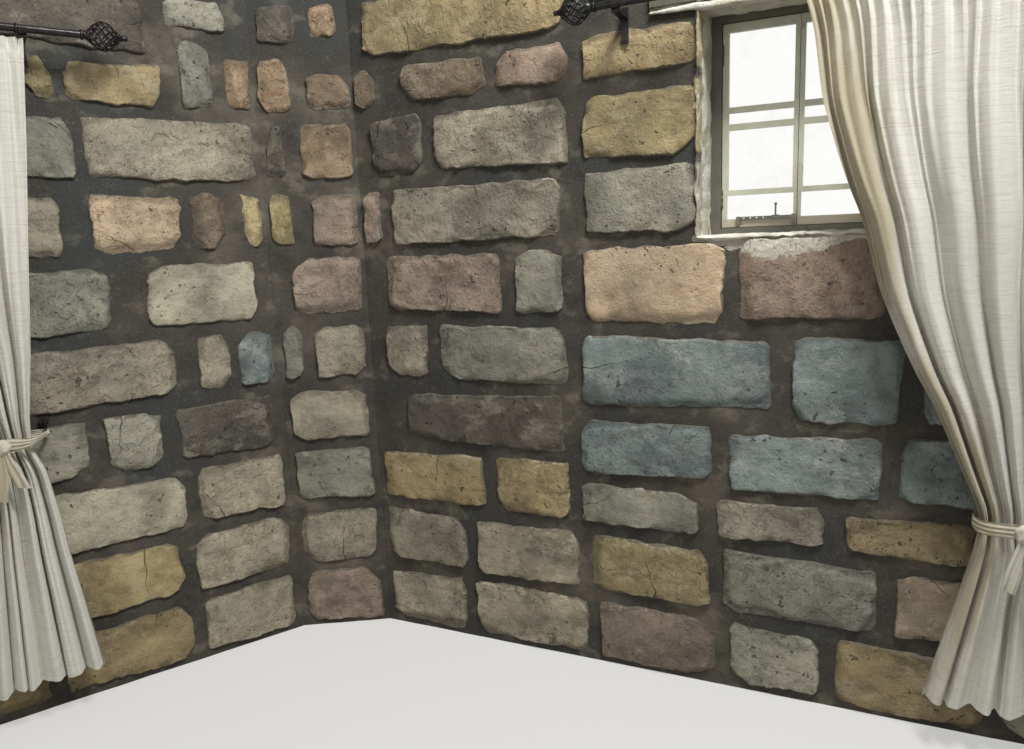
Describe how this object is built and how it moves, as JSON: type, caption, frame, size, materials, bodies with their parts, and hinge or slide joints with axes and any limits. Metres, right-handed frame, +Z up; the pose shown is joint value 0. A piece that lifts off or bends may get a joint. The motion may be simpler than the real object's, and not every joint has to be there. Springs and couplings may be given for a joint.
{
  "type": "stone rondavel wall with casement windows",
  "caption": "Stretch of a many-sided rondavel's dressed-stone wall with small-paned windows, wrought-iron curtain poles and tied-back cotton curtains.",
  "frame": {"origin": "middle of the underside of the bounding box, on the floor", "axes": "+X along the short side to the right as seen from the room, +Y outside, +Z up"},
  "size_m": [6.0926, 1.88, 2.6],
  "materials": {
    "stone": "rough-dressed sandstone blocks in wide smoothed cement joints",
    "cast_cement": "cast cement, floated",
    "frame_paint": "dark brown oil, worn",
    "sash_paint": "old grey-green gloss paint",
    "glass": "clear drawn glass",
    "stay_metal": "dull dark iron",
    "black_iron": "satin black over wrought iron",
    "curtain_cotton": "loose slubbed off-white cotton",
    "tie_cotton": "twisted band of the same cotton"
  },
  "bodies": {
    "root": {"corner_wall": "stone", "right_near_pier": "stone", "right_far_pier": "stone", "right_under_wall": "stone", "right_over_wall": "stone", "right_lintel": "cast_cement", "right_outer_sill": "cast_cement", "right_window_frame": "frame_paint", "right_hung_leaf": "sash_paint", "right_slave_leaf": "sash_paint", "right_hung_glass": "glass", "right_slave_glass": "glass", "right_peg_stay": "stay_metal", "right_pole": "black_iron", "right_start_bracket": "black_iron", "right_end_bracket": "black_iron", "right_start_finial": "black_iron", "right_end_finial": "black_iron", "right_rings": "black_iron", "right_curtain": "curtain_cotton", "right_tie_band": "tie_cotton", "right_tie_hook": "black_iron", "left_near_pier": "stone", "left_far_pier": "stone", "left_under_wall": "stone", "left_over_wall": "stone", "left_lintel": "cast_cement", "left_outer_sill": "cast_cement", "left_window_frame": "frame_paint", "left_hung_leaf": "sash_paint", "left_slave_leaf": "sash_paint", "left_hung_glass": "glass", "left_slave_glass": "glass", "left_peg_stay": "stay_metal", "left_pole": "black_iron", "left_start_bracket": "black_iron", "left_end_bracket": "black_iron", "left_start_finial": "black_iron", "left_end_finial": "black_iron", "left_rings": "black_iron", "left_curtain": "curtain_cotton", "left_tie_band": "tie_cotton", "left_tie_hook": "black_iron"}
  },
  "joints": []
}
